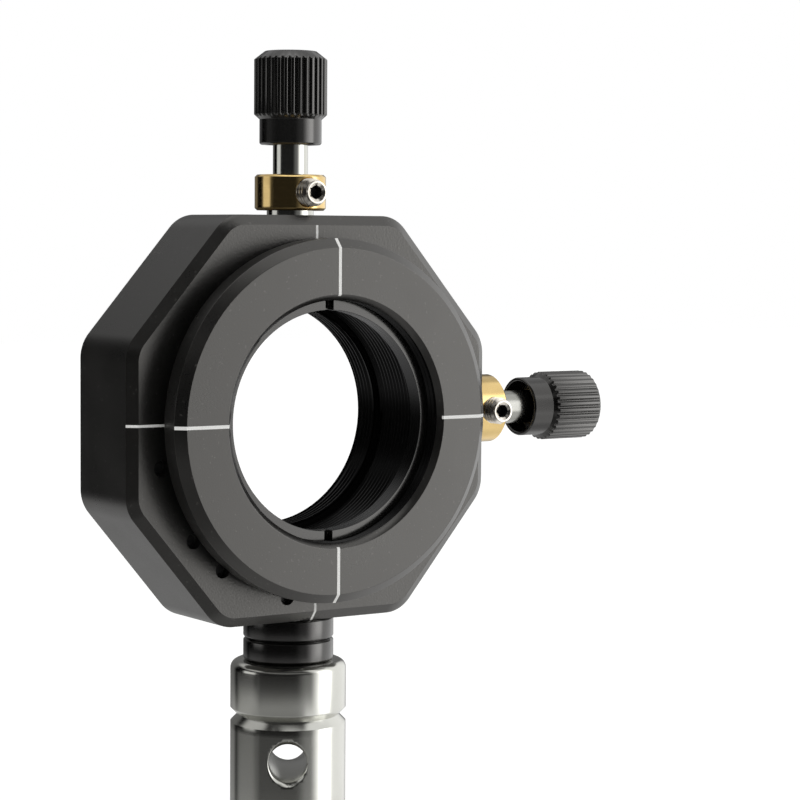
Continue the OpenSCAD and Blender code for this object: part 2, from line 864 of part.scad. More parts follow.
module side_lock_screw() {
    color(steel_colour) to_side() lock_screw(half_width);
}

module top_screw() {
    color(steel_colour) adjuster_screw(half_height, top_screw_gap);
}

module side_screw() {
    color(steel_colour) to_side() adjuster_screw(half_width, side_screw_gap);
}

module top_tip_ball() {
    color(steel_colour) tip_ball();
}

module side_tip_ball() {
    color(steel_colour) to_side() tip_ball();
}

module top_knob() {
    color(dark_anodised) knob(half_height, top_screw_gap);
}

module side_knob() {
    color(dark_anodised) to_side() knob(half_width, side_screw_gap);
}

// --- Post and its fixings ---

module spacer(top, height) {
    outer = spacer_d / 2;
    inner = stud_d / 2 + hole_clearance;
    rotate_extrude() polygon([
        [inner, top - height],
        [outer - spacer_chamfer, top - height],
        [outer, top - height + spacer_chamfer],
        [outer, top - spacer_chamfer],
        [outer - spacer_chamfer, top],
        [inner, top]
    ]);
}

module upper_spacer() {
    color(dark_anodised) spacer(spacer_top, upper_spacer_height);
}

module lower_spacer() {
    color(dark_anodised) spacer(spacer_joint, lower_spacer_height);
}

module stud() {
    stud_r = stud_d / 2;
    color(steel_colour)
    rotate_extrude() polygon([
        [0, stud_bottom],
        [stud_r - stud_chamfer, stud_bottom],
        [stud_r, stud_bottom + stud_chamfer],
        [stud_r, stud_top - stud_chamfer],
        [stud_r - stud_chamfer, stud_top],
        [0, stud_top]
    ]);
}

// Body of the post as radius and height, with a round shoulder and a V groove
module post_profile() {
    groove_middle = post_top - groove_drop;
    difference() {
        union() {
            translate([0, post_foot + post_foot_chamfer])
                square([post_r, post_length - post_foot_chamfer - post_shoulder]);
            polygon([
                [0, post_foot],
                [post_r - post_foot_chamfer, post_foot],
                [post_r, post_foot + post_foot_chamfer],
                [0, post_foot + post_foot_chamfer]
            ]);
            translate([0, post_top - post_shoulder - nudge])
                square([post_r - post_shoulder, post_shoulder + nudge]);
            intersection() {
                translate([post_r - post_shoulder, post_top - post_shoulder]) circle(r = post_shoulder);
                translate([0, post_top - post_shoulder - nudge]) square([post_r, post_shoulder + nudge]);
            }
        }
        polygon([
            [post_r + nudge, groove_middle + groove_width / 2],
            [post_r - groove_depth, groove_middle],
            [post_r + nudge, groove_middle - groove_width / 2]
        ]);
    }
}

module cross_hole() {
    flare = cross_hole_chamfer + over_reach;
    translate([0, 0, post_top - cross_hole_drop]) rotate([0, 0, -cross_hole_turn]) {
        rod_y(-post_d, post_d, cross_hole_d / 2);
        for (end = [0, 180])
            rotate([0, 0, end])
                translate([0, post_r - cross_hole_chamfer, 0])
                    rotate([-90, 0, 0])
                        cylinder(h = flare, r1 = cross_hole_d / 2, r2 = cross_hole_d / 2 + flare);
    }
}

module post() {
    color(steel_colour)
    difference() {
        rotate_extrude() post_profile();
        translate([0, 0, stud_bottom - stud_hole_spare])
            cylinder(h = stud_in_post + stud_hole_spare + over_reach, r = stud_d / 2 + seat_fit);
        translate([0, 0, post_foot - over_reach])
            cylinder(h = foot_hole_depth + over_reach, r = foot_hole_d / 2);
        translate([0, 0, post_foot - nudge])
            cylinder(h = foot_countersink, r1 = foot_hole_d / 2 + foot_countersink, r2 = foot_hole_d / 2);
        cross_hole();
    }
}

housing();
housing_lines();
rear_cover();
cover_screws();
lens_cell();
cell_lines();
retaining_ring();
slide_ring();
cross_slide();
top_pad();
side_pad();
spring_pins();
lower_leaf_spring();
side_leaf_spring();
top_sleeve();
side_sleeve();
top_collar();
side_collar();
top_lock_screw();
side_lock_screw();
top_screw();
side_screw();
top_tip_ball();
side_tip_ball();
top_knob();
side_knob();
stud();
upper_spacer();
lower_spacer();
post();
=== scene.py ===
import json
import math

import bpy
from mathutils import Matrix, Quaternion, Vector


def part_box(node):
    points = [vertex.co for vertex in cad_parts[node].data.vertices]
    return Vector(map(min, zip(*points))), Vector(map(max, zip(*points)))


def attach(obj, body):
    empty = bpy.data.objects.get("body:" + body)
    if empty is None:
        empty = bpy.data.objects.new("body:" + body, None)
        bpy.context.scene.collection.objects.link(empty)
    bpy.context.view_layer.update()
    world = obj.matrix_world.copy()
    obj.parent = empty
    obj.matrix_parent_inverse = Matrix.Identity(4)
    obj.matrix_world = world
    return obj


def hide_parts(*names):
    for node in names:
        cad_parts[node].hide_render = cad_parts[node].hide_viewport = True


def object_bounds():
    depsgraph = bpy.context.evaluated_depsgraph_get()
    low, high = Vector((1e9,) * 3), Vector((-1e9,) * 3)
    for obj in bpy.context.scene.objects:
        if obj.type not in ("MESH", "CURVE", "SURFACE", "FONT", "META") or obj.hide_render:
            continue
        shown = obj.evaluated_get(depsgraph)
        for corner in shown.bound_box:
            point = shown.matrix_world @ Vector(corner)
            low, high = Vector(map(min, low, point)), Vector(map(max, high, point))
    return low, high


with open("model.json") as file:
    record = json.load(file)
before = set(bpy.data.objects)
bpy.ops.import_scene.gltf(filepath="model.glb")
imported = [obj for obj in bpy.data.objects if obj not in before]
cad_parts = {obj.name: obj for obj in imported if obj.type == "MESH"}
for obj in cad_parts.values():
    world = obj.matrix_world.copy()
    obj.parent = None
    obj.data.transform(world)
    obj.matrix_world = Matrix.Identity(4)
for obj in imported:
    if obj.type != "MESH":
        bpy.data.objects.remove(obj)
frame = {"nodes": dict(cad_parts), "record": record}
nodes = frame["nodes"]
record = frame["record"]
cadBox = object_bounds()
mm = 0.001
print("frame loaded:", len(nodes), "nodes")


class Field:
    # a node's output that can stand in sums, with the graph it belongs to
    def __init__(self, graph, socket):
        self.graph = graph
        self.socket = socket

    def maths(self, operation, *values):
        inputs = {i: value for i, value in enumerate(values)}
        return self.graph.add("ShaderNodeMath", {"operation": operation}, inputs)

    def __add__(self, other):
        return self.maths("ADD", self, other)

    def __radd__(self, other):
        return self.maths("ADD", other, self)

    def __sub__(self, other):
        return self.maths("SUBTRACT", self, other)

    def __rsub__(self, other):
        return self.maths("SUBTRACT", other, self)

    def __mul__(self, other):
        return self.maths("MULTIPLY", self, other)

    def __rmul__(self, other):
        return self.maths("MULTIPLY", other, self)

    def __truediv__(self, other):
        return self.maths("DIVIDE", self, other)

    def least(self, other):
        return self.maths("MINIMUM", self, other)

    def step(self, low, high):
        # 0 below low, 1 above high, a smooth ramp between
        return self.graph.add(
            "ShaderNodeMapRange",
            {"interpolation_type": "SMOOTHSTEP"},
            {"Value": self, "From Min": low, "From Max": high},
        )

    def band(self, low, high, soft):
        # 1 between low and high, with soft edges
        return self.step(low - soft, low + soft) * (1 - self.step(high - soft, high + soft))

    def swing(self, spread):
        # a noise as a change of at most half the spread to either side
        return (self - 0.5) * spread


class Graph:
    def __init__(self, owner):
        owner.use_nodes = True
        self.tree = owner.node_tree
        self.tree.nodes.clear()

    def add(self, kind, settings=None, inputs=None, output=0):
        node = self.tree.nodes.new(kind)
        for name, value in (settings or {}).items():
            setattr(node, name, value)
        for name, value in (inputs or {}).items():
            if isinstance(value, Field):
                self.tree.links.new(value.socket, node.inputs[name])
            else:
                node.inputs[name].default_value = value
        return Field(self, node.outputs[output]) if node.outputs else None

    def point(self):
        return self.add("ShaderNodeTexCoord", output="Object")

    def along(self, vector, axis):
        return self.add("ShaderNodeSeparateXYZ", None, {"Vector": vector}, axis)

    def rays(self):
        # the camera's own rays, and those that metal or glass sends on
        camera, glossy, through = [
            self.add("ShaderNodeLightPath", output=ray)
            for ray in ("Is Camera Ray", "Is Glossy Ray", "Is Transmission Ray")
        ]
        return camera, (glossy + through).least(1)

    def noise(self, vector, size, detail=2.0):
        return self.add(
            "ShaderNodeTexNoise",
            None,
            {"Vector": vector, "Scale": 1 / size, "Detail": detail},
        )

    def lines(self, height, size, detail):
        # a random value that changes only along one direction
        return self.add(
            "ShaderNodeTexNoise",
            {"noise_dimensions": "1D"},
            {"W": height / size, "Scale": 1.0, "Detail": detail},
        )

    def blend(self, share, first, second):
        return self.add(
            "ShaderNodeMix",
            {"data_type": "RGBA"},
            {"Factor": share, 6: rgba(first), 7: rgba(second)},
            2,
        )

    def bump(self, height, distance):
        return self.add("ShaderNodeBump", None, {"Height": height, "Distance": distance})

    def surface(self, shader):
        self.add("ShaderNodeOutputMaterial", None, {"Surface": shader})


def rgba(colour):
    return colour if isinstance(colour, Field) else (*colour, 1)


def finish(name, build):
    # a material whose graph is drawn by build, which returns the sockets of its shader
    material = bpy.data.materials.new(name)
    graph = Graph(material)
    sockets = build(graph)
    graph.surface(graph.add("ShaderNodeBsdfPrincipled", None, sockets))
    return material


blasted = {
    "colour": (0.0028, 0.0027, 0.0026),
    "lighter": (0.0095, 0.0092, 0.0088),
    "fleck": (0.035, 0.034, 0.032),
    "grain": 0.16 * mm,
    "dent": 0.005 * mm,
    "contrast": 0.9,
    "cloud": 6 * mm,
    "cloudContrast": 0.5,
    "tone": 0.4,  # share of the lighter black on average
    "fleckSize": 0.4 * mm,
    "flecks": (0.70, 0.76),
    "roughness": 0.31,
    "spread": 0.12,
    "sockets": {
        "IOR": 1.8,  # the clear oxide layer
        "Specular Tint": (1.0, 0.975, 0.93, 1),
    },
}
coarse = {**blasted, "grain": 0.24 * mm, "dent": 0.014 * mm, "contrast": 1.6}


def blastedBlack(look):
    def build(graph):
        point = graph.point()
        grain = graph.noise(point, look["grain"], detail=3)
        cloud = graph.noise(point, look["cloud"], detail=2)
        fleck = graph.noise(point, look["fleckSize"], detail=1)
        share = grain.swing(look["contrast"]) + cloud.swing(look["cloudContrast"]) + look["tone"]
        black = graph.blend(share.step(0.0, 1.0), look["colour"], look["lighter"])
        uneven = grain.swing(look["spread"]) + cloud.swing(look["spread"])
        return {
            "Base Color": graph.blend(fleck.step(*look["flecks"]), black, look["fleck"]),
            "Roughness": uneven + look["roughness"],
            "Normal": graph.bump(grain, look["dent"]),
            **look["sockets"],
        }
    return build


# finishes with fine grooves round an axis, left by the lathe or the grinding wheel
turned = {
    "colour": (0.0015, 0.0015, 0.0015),
    "worn": (0.006, 0.006, 0.0057),
    "cloud": 0.12 * mm,
    "shift": (0.45, 0.8),
    "detail": 2,
    "roughness": 0.17,
    "spread": 0.16,
    "cloudSpread": 0,
    "pitch": 0.09 * mm,
    "grooveDetail": 2,
    "dent": 0.0012 * mm,
    "sockets": {"IOR": 1.8, "Specular Tint": (1.0, 0.98, 0.95, 1)},
}
# darker and less reflective than the turned black: painted shade for the bore's walls, over real
# lathe grooves
inside = {
    **turned,
    "colour": (0.0012, 0.0012, 0.0012),
    "worn": (0.004, 0.004, 0.0038),
    "cloud": 0.3 * mm,
    "shift": (0.5, 0.8),
    "detail": 3,
    "roughness": 0.26,
    "spread": 0.14,
    "sockets": {"IOR": 1.38},
}
steel = {
    "colour": (0.61, 0.61, 0.57),
    "worn": (0.565, 0.563, 0.52),
    "cloud": 5 * mm,
    "shift": (0.35, 0.75),
    "detail": 3,
    "roughness": 0.12,
    "spread": 0.14,
    "cloudSpread": 0.03,
    "pitch": 0.07 * mm,
    "grooveDetail": 3,
    "dent": 0.0006 * mm,
    "sockets": {"Metallic": 1.0},
}
brass = {
    "colour": (0.82, 0.60, 0.26),
    "worn": (0.70, 0.50, 0.21),
    "cloud": 2.2 * mm,
    "shift": (0.3, 0.8),
    "detail": 3,
    "roughness": 0.16,
    "spread": 0.16,
    "cloudSpread": 0.08,
    "pitch": 0.12 * mm,
    "grooveDetail": 3,
    "dent": 0.0012 * mm,
    "sockets": {"Metallic": 1.0},
}


def grooved(look, axis):
    def build(graph):
        point = graph.point()
        groove = graph.lines(graph.along(point, axis), look["pitch"], look["grooveDetail"])
        cloud = graph.noise(point, look["cloud"], look["detail"])
        uneven = groove.swing(look["spread"]) + cloud.swing(look["cloudSpread"])
        return {
            "Base Color": graph.blend(cloud.step(*look["shift"]), look["colour"], look["worn"]),
            "Roughness": uneven + look["roughness"],
            "Normal": graph.bump(groove, look["dent"]),
            **look["sockets"],
        }
    return build


def varied(look, roughness, shade=1.0):
    # the same finish with another roughness, and with its colours darkened where shade is below 1,
    # which is painted shade
    colours = {key: [shade * part for part in look[key]] for key in ("colour", "worn")}
    return {**look, **colours, "roughness": roughness}


# finishes with soft clouds and no direction
plated = {
    "colour": (0.76, 0.72, 0.65),
    "dull": (0.62, 0.58, 0.51),
    "cloud": 0.7 * mm,
    "shift": (0.3, 0.8),
    "metallic": 1.0,
    "roughness": 0.2,
    "spread": 0.1,
    "dent": 0.001 * mm,
}
blackened = {
    "colour": (0.02, 0.02, 0.021),
    "dull": (0.05, 0.048, 0.046),
    "cloud": 0.5 * mm,
    "shift": (0.3, 0.8),
    "metallic": 0.6,
    "roughness": 0.35,
    "spread": 0.15,
    "dent": 0.001 * mm,
}
bronze = {
    "colour": (0.5, 0.36, 0.2),
    "dull": (0.38, 0.27, 0.15),
    "cloud": 1.5 * mm,
    "grain": 0.1 * mm,
    "shift": (0.3, 0.8),
    "metallic": 1.0,
    "roughness": 0.3,
    "spread": 0.1,
    "dent": 0.001 * mm,
}
paint = {
    "colour": (0.86, 0.86, 0.84),
    "dull": (0.7, 0.7, 0.68),
    "cloud": 0.12 * mm,
    "shift": (0.35, 0.8),
    "metallic": 0.0,
    "roughness": 0.6,
    "spread": 0.2,
    "dent": 0.004 * mm,
}
# near black with a dull cloud: painted shade inside the hex sockets of the plated lock screws
socketShadeLook = {
    "colour": (0.012, 0.011, 0.010),
    "dull": (0.05, 0.045, 0.038),
    "cloud": 0.25 * mm,
    "shift": (0.45, 0.8),
    "metallic": 0.5,
    "roughness": 0.34,
    "spread": 0.2,
    "dent": 0.003 * mm,
}


def clouded(look):
    def build(graph):
        point = graph.point()
        cloud = graph.noise(point, look["cloud"], detail=3)
        relief = graph.noise(point, look["grain"]) if "grain" in look else cloud
        return {
            "Base Color": graph.blend(cloud.step(*look["shift"]), look["colour"], look["dull"]),
            "Metallic": look["metallic"],
            "Roughness": cloud.swing(look["spread"]) + look["roughness"],
            "Normal": graph.bump(relief, look["dent"]),
        }
    return build


finishes = {
    "blasted": finish("blastedBlack", blastedBlack(blasted)),
    "coarse": finish("blastedFront", blastedBlack(coarse)),
    "turnedX": finish("turnedBlackSide", grooved(turned, "X")),
    "turnedY": finish("turnedBlackRing", grooved(turned, "Y")),
    "turnedZ": finish("turnedBlackTop", grooved(turned, "Z")),
    # the bore's finish: painted shade in the recess
    "shadedBoreBlack": finish("shadedBoreBlack", grooved(inside, "Y")),
    # the hex sockets' finish: painted shade
    "socket": finish("shadedSocketBlack", clouded(socketShadeLook)),
    # the side adjuster's steel at 0.6 of its colour: painted shade that tones down the key lamp's
    # reflection on it
    "steelX": finish("steelSideShaded", grooved(varied(steel, roughness=0.22, shade=0.6), "X")),
    "steelY": finish("steelPins", grooved(steel, "Y")),
    "steelZ": finish("steelTop", grooved(steel, "Z")),
    "postSteel": finish("steelPost", grooved(varied(steel, roughness=0.16), "Z")),
    "brassX": finish("brassSide", grooved(brass, "X")),
    "brassZ": finish("brassTop", grooved(brass, "Z")),
    "plated": finish("platedSteel", clouded(plated)),
    "blackened": finish("blackenedSteel", clouded(blackened)),
    "paint": finish("whitePaint", clouded(paint)),
    "bronze": finish("lappedBronze", clouded(bronze)),
}

# the finish of each node; a piece that replaces a node is given its own
nodeFinishes = {
    "paint": ["housing_lines", "cell_lines"],
    "blasted": ["housing", "rear_cover", "lens_cell"],
    "turnedY": ["retaining_ring", "slide_ring"],
    "bronze": ["cross_slide"],
    "blackened": ["cover_screws", "spring_pins"],
    "steelY": ["lower_leaf_spring", "side_leaf_spring", "top_pad", "side_pad"],
    "steelZ": ["top_sleeve", "top_screw", "top_tip_ball", "stud", "post"],
    "steelX": ["side_sleeve", "side_screw", "side_tip_ball"],
    "brassZ": ["top_collar"],
    "brassX": ["side_collar"],
    "plated": ["top_lock_screw", "side_lock_screw"],
    "turnedZ": ["top_knob", "upper_spacer", "lower_spacer"],
    "turnedX": ["side_knob"],
}
for finishName, nodeNames in nodeFinishes.items():
    for nodeName in nodeNames:
        nodes[nodeName].data.materials.clear()
        nodes[nodeName].data.materials.append(finishes[finishName])
print("finishes made:", len(finishes))


mergeDistance = 0.0005 * mm
flatAngle = math.radians(0.6)  # faces that differ by less are one flat face
placing = {
    "X": lambda radius, height: Vector((height, 0, radius)) * mm,
    "Y": lambda radius, height: Vector((radius, height, 0)) * mm,
    "Z": lambda radius, height: Vector((radius, 0, height)) * mm,
}
axes = {"X": (1, 0, 0), "Y": (0, 1, 0), "Z": (0, 0, 1)}


def only(piece):
    bpy.ops.object.select_all(action="DESELECT")
    piece.select_set(True)
    bpy.context.view_layer.objects.active = piece


def editing(mode="VERT"):
    bpy.ops.object.mode_set(mode="EDIT")
    bpy.ops.mesh.select_mode(type=mode)


def done():
    bpy.ops.object.mode_set(mode="OBJECT")


def started(name, primitive, **settings):
    # a primitive at its size and place, named and left selected
    bpy.ops.object.select_all(action="DESELECT")
    primitive(**settings)
    piece = bpy.context.active_object
    piece.name = piece.data.name = name
    bpy.ops.object.transform_apply(location=True, rotation=True, scale=True)
    return piece


def chooseVertices(piece, test):
    mesh = piece.data
    chosen = {vertex.index for vertex in mesh.vertices if test(vertex.co)}
    for vertex in mesh.vertices:
        vertex.select = vertex.index in chosen
    for edge in mesh.edges:
        edge.select = all(i in chosen for i in edge.vertices)
    for face in mesh.polygons:
        face.select = all(i in chosen for i in face.vertices)


def chooseFaces(piece, test):
    mesh = piece.data
    for group in (mesh.vertices, mesh.edges):
        group.foreach_set("select", [False] * len(group))
    for face in mesh.polygons:
        face.select = test(face)


def radial(spot):
    return math.hypot(spot.x, spot.z)  # distance from the optical axis


def near(value, target, gap):
    return abs(value - target) < gap


def merged():
    # in edit mode: joins corners that lie on each other
    bpy.ops.mesh.select_all(action="SELECT")
    bpy.ops.mesh.remove_doubles(threshold=mergeDistance)


def closed():
    # in edit mode: joins doubled corners and turns all faces outwards
    merged()
    bpy.ops.mesh.normals_make_consistent(inside=False)


def wire(name, points):
    # a line of edges drawn out from one corner
    piece = started(name, bpy.ops.mesh.primitive_plane_add, size=mm)
    editing()
    bpy.ops.mesh.select_all(action="SELECT")
    bpy.ops.mesh.merge(type="CENTER")
    bpy.ops.transform.translate(value=points[0])
    for last, point in zip(points, points[1:]):
        bpy.ops.mesh.extrude_region_move(TRANSFORM_OT_translate={"value": point - last})
    done()
    return piece


def spun(name, outline, axis="Z", steps=128):
    # an outline of (radius, height) in millimetres turned about an axis
    piece = wire(name, [placing[axis](radius, height) for radius, height in outline])
    editing()
    bpy.ops.mesh.select_all(action="SELECT")
    bpy.ops.mesh.spin(steps=steps, angle=2 * math.pi, center=(0, 0, 0), axis=axes[axis])
    closed()
    done()
    return piece


def applied(piece, kind, **settings):
    modifier = piece.modifiers.new(kind.lower(), kind)
    for name, value in settings.items():
        setattr(modifier, name, value)
    only(piece)
    bpy.ops.object.modifier_apply(modifier=modifier.name)
    return piece


def cut(piece, cutter):
    applied(piece, "BOOLEAN", operation="DIFFERENCE", solver="EXACT", object=cutter)
    bpy.data.objects.remove(cutter, do_unlink=True)
    return piece


def softened(piece, width=0, segments=2, angle=28):
    # small rounded edges, then smooth shading that keeps the corners
    if width:
        applied(
            piece, "BEVEL", width=width * mm, segments=segments,
            limit_method="ANGLE", angle_limit=math.radians(angle), use_clamp_overlap=True,
        )
    only(piece)
    bpy.ops.object.shade_smooth_by_angle(angle=math.radians(angle))
    return piece


def evened(piece):
    return applied(piece, "WEIGHTED_NORMAL", keep_sharp=True, weight=80)


def mended(nodeName, name):
    # a merged copy of a node, with its flat faces whole again
    source = nodes[nodeName]
    piece = bpy.data.objects.new(name, source.data.copy())
    bpy.context.scene.collection.objects.link(piece)
    only(piece)
    bpy.ops.mesh.customdata_custom_splitnormals_clear()
    editing()
    merged()
    bpy.ops.mesh.dissolve_limited(angle_limit=flatAngle)
    done()
    return piece


def copied(piece, name):
    twin = bpy.data.objects.new(name, piece.data.copy())
    bpy.context.scene.collection.objects.link(twin)
    return twin


def moved(piece, turn=(0, 0, 0), shift=(0, 0, 0)):
    piece.rotation_euler = turn
    piece.location = shift
    only(piece)
    bpy.ops.object.transform_apply(location=True, rotation=True, scale=True)
    return piece


def joined(first, *others):
    only(first)
    for other in others:
        other.select_set(True)
    bpy.ops.object.join()
    return first


def hexCutter(across, depth, spot, turn=(0, 0, 0)):
    # the cutter for a hexagon socket whose mouth lies at a spot
    return started(
        "socket", bpy.ops.mesh.primitive_cylinder_add, vertices=6,
        radius=across / math.sqrt(3) * mm, depth=2 * depth * mm,
        location=spot, rotation=turn,
    )


# half widths of a thread's ridge at its foot and at its top, as shares of the pitch
ridgeShape = {"foot": 0.43, "top": 0.07, "sunk": 0.02}


def threadRidge(name, axis, root, crest, pitch, start, turns, steps):
    # one helical ridge with closed ends, from its root radius to its crest
    foot, top = ridgeShape["foot"], ridgeShape["top"]
    points = [(root, -foot), (crest, -top), (crest, top), (root, foot), (root, -foot)]
    piece = wire(name, [placing[axis](radius, start + share * pitch) for radius, share in points])
    editing()
    merged()
    done()
    applied(
        piece, "SCREW", axis=axis, angle=2 * math.pi, screw_offset=pitch * mm,
        iterations=turns, steps=steps, render_steps=steps, use_merge_vertices=False,
    )
    editing()
    merged()
    bpy.ops.mesh.select_all(action="DESELECT")
    bpy.ops.mesh.select_non_manifold()
    bpy.ops.mesh.fill_holes(sides=4)
    closed()
    done()
    return softened(piece)


def ready(piece, finishName, body, nodeName):
    # gives a piece its finish and its body, in place of a node
    piece.data.materials.clear()
    piece.data.materials.append(finishes[finishName])
    for face in piece.data.polygons:
        face.material_index = 0
    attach(piece, body)
    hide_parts(nodeName)
    return piece


def secondFinish(piece, finishName, test):
    # another finish on the faces that pass a test
    piece.data.materials.append(finishes[finishName])
    for face in piece.data.polygons:
        if test(face):
            face.material_index = 1
    return piece


def withinRadius(piece, face, radius):
    corners = piece.data.vertices
    return all(radial(corners[i].co) < radius for i in face.vertices)


def reach(nodeName):
    # a node's lowest and highest corner in millimetres
    low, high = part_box(nodeName)
    return low / mm, high / mm


def mount(name):
    return next(m for m in record["mounts"] if m["name"] == name)


def arc(centre, radius, first, last, count):
    # points of an arc as (radius, height), angles in degrees
    turns = [math.radians(first + (last - first) * i / count) for i in range(count + 1)]
    return [(centre[0] + radius * math.cos(t), centre[1] + radius * math.sin(t)) for t in turns]


housing = {"edge": 0.09, "coverEdge": 0.08, "frontGap": 0.02, "frontNormal": -0.99}

body = mended("housing", "housingShell")
softened(body, housing["edge"], angle=25)
evened(body)
ready(body, "blasted", "mount_frame", "housing")
frontFace = reach("housing")[0].y + housing["frontGap"]
secondFinish(body, "coarse", lambda face: (
    face.normal.y < housing["frontNormal"] and face.center.y / mm < frontFace
))

cover = mended("rear_cover", "rearCover")
softened(cover, housing["coverEdge"], angle=25)
evened(cover)
ready(cover, "blasted", "mount_frame", "rear_cover")

coverScrew = {
    "head": 3.0,
    "thread": 1.6,
    "length": 5.5,
    "hex": 0.95,
    "hexDepth": 0.7,
    "steps": 48,
    "edge": 0.05,
}


def coverScrews():
    high = reach("cover_screws")[1]
    top = high.y
    headRadius = coverScrew["head"] / 2
    threadRadius = coverScrew["thread"] / 2
    screw = spun("coverScrewA", [
        (0, top - coverScrew["length"]),
        (threadRadius, top - coverScrew["length"]),
        (threadRadius, top - headRadius + threadRadius),
        (headRadius, top),
        (0, top),
    ], "Y", coverScrew["steps"])
    mouth = (0, top * mm, 0)
    cut(screw, hexCutter(coverScrew["hex"], coverScrew["hexDepth"], mouth, (math.pi / 2, 0, 0)))
    softened(screw, coverScrew["edge"])
    x, z = high.x - headRadius, high.z - headRadius
    spots = [(x, z), (-x, z), (x, -z), (-x, -z)]
    screws = [screw] + [copied(screw, "coverScrew" + letter) for letter in "BCD"]
    for piece, (x, z) in zip(screws, spots):
        moved(piece, shift=(x * mm, 0, z * mm))
    return joined(*screws)


ready(coverScrews(), "blackened", "mount_frame", "cover_screws")
print("housing dressed")


cell = {
    "boreRadius": 12.9,
    "lipRadius": 12.2,
    "threadDepth": 0.22,
    "pitch": 0.635,
    "leadIn": 0.5,  # share of the pitch before the first turn
    "runOut": 0.4,
    "steps": 128,
    "chamfer": 0.6,
    "lip": 3.5,
    "lipChamfer": 0.25,
    "edge": 0.06,
    "darkGap": 0.05,
}
# how near a face or a corner of the cell lies to a wall or an edge that is looked for
cellGaps = {"wall": 0.06, "upright": 0.1, "height": 0.01, "radius": 0.03, "level": 0.02}


def threadedWall(piece, name, radius, front, back):
    # takes a plain wall out to the root of its thread, and makes the ridge to join
    root = radius + cell["threadDepth"]
    grow = root / radius
    gaps = cellGaps

    def onEdge(spot, edgeRadius, height):
        return (
            near(radial(spot) / mm, edgeRadius, gaps["radius"])
            and near(spot.y / mm, height, gaps["level"])
        )

    chooseFaces(piece, lambda face: (
        near(radial(face.center) / mm, radius, gaps["wall"])
        and front - gaps["height"] < face.center.y / mm < back + gaps["height"]
        and abs(face.normal.y) < gaps["upright"]
    ))
    only(piece)
    editing("FACE")
    bpy.ops.mesh.delete(type="FACE")
    done()
    for height in (front, back):
        chooseVertices(piece, lambda spot: onEdge(spot, radius, height))
        editing()
        bpy.ops.mesh.extrude_region_move(TRANSFORM_OT_translate={"value": (0, 0, 0)})
        bpy.ops.transform.resize(value=(grow, 1, grow), center_override=(0, height * mm, 0))
        done()
    chooseVertices(piece, lambda spot: onEdge(spot, root, front) or onEdge(spot, root, back))
    editing()
    bpy.ops.mesh.bridge_edge_loops()
    closed()
    done()
    turns = int((back - front - cell["runOut"]) / cell["pitch"])
    return threadRidge(
        name, "Y", root + ridgeShape["sunk"], radius, cell["pitch"],
        front + cell["leadIn"] * cell["pitch"], turns, cell["steps"],
    )


def lensCell():
    low, high = reach("lens_cell")
    front = low.y + cell["chamfer"]  # where the bore's wall begins
    seat = high.y - cell["lip"]
    piece = mended("lens_cell", "lensCell")
    ridges = [
        threadedWall(piece, "cellThread", cell["boreRadius"], front, seat),
        threadedWall(piece, "lipThread", cell["lipRadius"], seat, high.y - cell["lipChamfer"]),
    ]
    softened(piece, cell["edge"], angle=25)
    evened(piece)
    joined(piece, *ridges)
    ready(piece, "blasted", "lens_stage", "lens_cell")
    bore = (cell["boreRadius"] + cell["threadDepth"] + cell["darkGap"]) * mm
    start = (front - cell["darkGap"]) * mm
    # painted shade: the bore's walls and thread ridges take the darker, weaker-reflecting finish
    secondFinish(piece, "shadedBoreBlack", lambda face: (
        face.center.y > start and withinRadius(piece, face, bore)
    ))


lensCell()

retainer = {"edge": 0.14, "segments": 3, "darkGap": 0.05}

ring = mended("retaining_ring", "retainingRing")
softened(ring, retainer["edge"], retainer["segments"], angle=25)
evened(ring)
ready(ring, "turnedY", "lens_stage", "retaining_ring")
ringWall = min(radial(corner.co) for corner in ring.data.vertices) + retainer["darkGap"] * mm
# painted shade on the ring's inner wall, deep in the bore
secondFinish(ring, "shadedBoreBlack", lambda face: withinRadius(ring, face, ringWall))
print("lens cell dressed")


collar = {
    "bevel": 0.25,
    "sleeve": 2.56,
    "lip": 0.5,
    "shaft": 1.98,
    "lockRadius": 1.51,
    "countersink": 0.2,
    "edge": 0.05,
    "rings": 5,  # edge loops above and below the lock screw's axis
    "ringStep": 0.3,
    "steps": 144,
    "drillSteps": 64,
}


def brassCollar():
    low, high = reach("top_collar")
    outer = high.x
    bottom, top = low.z, high.z
    middle = (bottom + top) / 2
    spots = range(-collar["rings"], collar["rings"] + 1)
    rings = [(outer, middle + collar["ringStep"] * i) for i in spots]
    piece = spun("topCollar", [
        (collar["sleeve"], bottom),
        (outer - collar["bevel"], bottom),
        (outer, bottom + collar["bevel"]),
        *rings,
        (outer, top - collar["bevel"]),
        (outer - collar["bevel"], top),
        (collar["shaft"], top),
        (collar["shaft"], top - collar["lip"]),
        (collar["sleeve"], top - collar["lip"]),
        (collar["sleeve"], bottom),
    ], "Z", collar["steps"])
    rim = collar["lockRadius"]
    sink = collar["countersink"]
    drill = spun("drill", [
        (0, 0),
        (rim, 0),
        (rim, outer - sink),
        (rim + 2 * sink, outer + sink),
        (0, outer + sink),
    ], "Z", collar["drillSteps"])
    moved(drill, (math.pi / 2, 0, 0), (0, 0, middle * mm))
    cut(piece, drill)
    return softened(piece, collar["edge"], angle=25)


topCollar = brassCollar()
sideCollar = moved(copied(topCollar, "sideCollar"), (0, math.pi / 2, 0))
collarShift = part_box("side_collar")[0].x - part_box("top_collar")[0].z
moved(sideCollar, shift=(collarShift, 0, 0))
ready(topCollar, "brassZ", "mount_frame", "top_collar")
ready(sideCollar, "brassX", "mount_frame", "side_collar")

